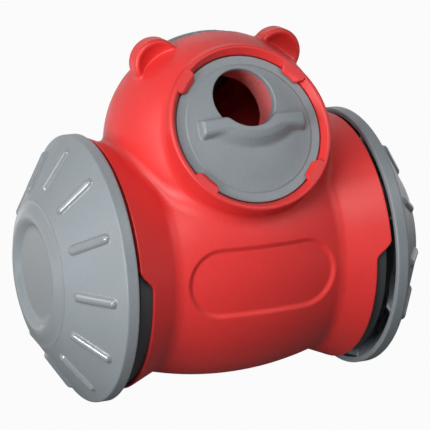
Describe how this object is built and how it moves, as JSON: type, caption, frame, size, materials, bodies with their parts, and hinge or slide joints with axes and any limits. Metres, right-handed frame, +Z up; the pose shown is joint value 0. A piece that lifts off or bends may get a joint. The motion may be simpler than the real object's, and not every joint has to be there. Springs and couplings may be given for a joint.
{
  "type": "treat dispensing ball",
  "caption": "Rolling treat dispenser: a weighted drum with a ball head and ears between free wheels, a turnable treat cover on its face and a twist-lock filler cover behind.",
  "frame": {"origin": "on the floor under the middle of the axle: the middle of the part's bounding box, at its lowest level", "axes": "+X along the axle to the right as seen in the picture, -Y the way the face with the treat cover looks, +Z up; left and right in names are the viewer's"},
  "size_m": [0.148, 0.1, 0.1348],
  "materials": {
    "red_plastic": "fine-grained satin red",
    "grey_plastic": "satin grey with a faint grain",
    "dark_plastic": "matt dark grey",
    "screw_steel": "plain bright steel",
    "weight_iron": "dark casting"
  },
  "bodies": {
    "body": {"body_shell": "red_plastic", "left_end_cap": "dark_plastic", "right_end_cap": "dark_plastic", "left_cap_screws": "screw_steel", "right_cap_screws": "screw_steel", "left_washer": "screw_steel", "right_washer": "screw_steel", "left_axle_screw": "screw_steel", "right_axle_screw": "screw_steel", "counterweight": "weight_iron", "weight_cover": "red_plastic", "weight_cover_screws": "screw_steel"},
    "wheel_left": {"left_wheel": "grey_plastic", "left_hub_cap": "grey_plastic"},
    "wheel_right": {"right_wheel": "grey_plastic", "right_hub_cap": "grey_plastic"},
    "dial": {"treat_cover": "grey_plastic"},
    "filler_lid": {"rear_cover": "grey_plastic"}
  },
  "joints": [
    {"name": "left_wheel_spin", "type": "hinge", "parent": "body", "child": "wheel_left", "pos_m": [0, 0, 0.05], "axis": [1, 0, 0], "continuous": true},
    {"name": "right_wheel_spin", "type": "hinge", "parent": "body", "child": "wheel_right", "pos_m": [0, 0, 0.05], "axis": [1, 0, 0], "continuous": true},
    {"name": "treat_cover_turn", "type": "hinge", "parent": "body", "child": "dial", "pos_m": [0, -0.0296, 0.1045], "axis": [0, -0.8625, 0.506], "continuous": true},
    {"name": "rear_cover_turn", "type": "hinge", "parent": "body", "child": "filler_lid", "pos_m": [0, 0, 0.0925], "axis": [0, 0.766, 0.6428], "range_deg": [0, 45]}
  ]
}
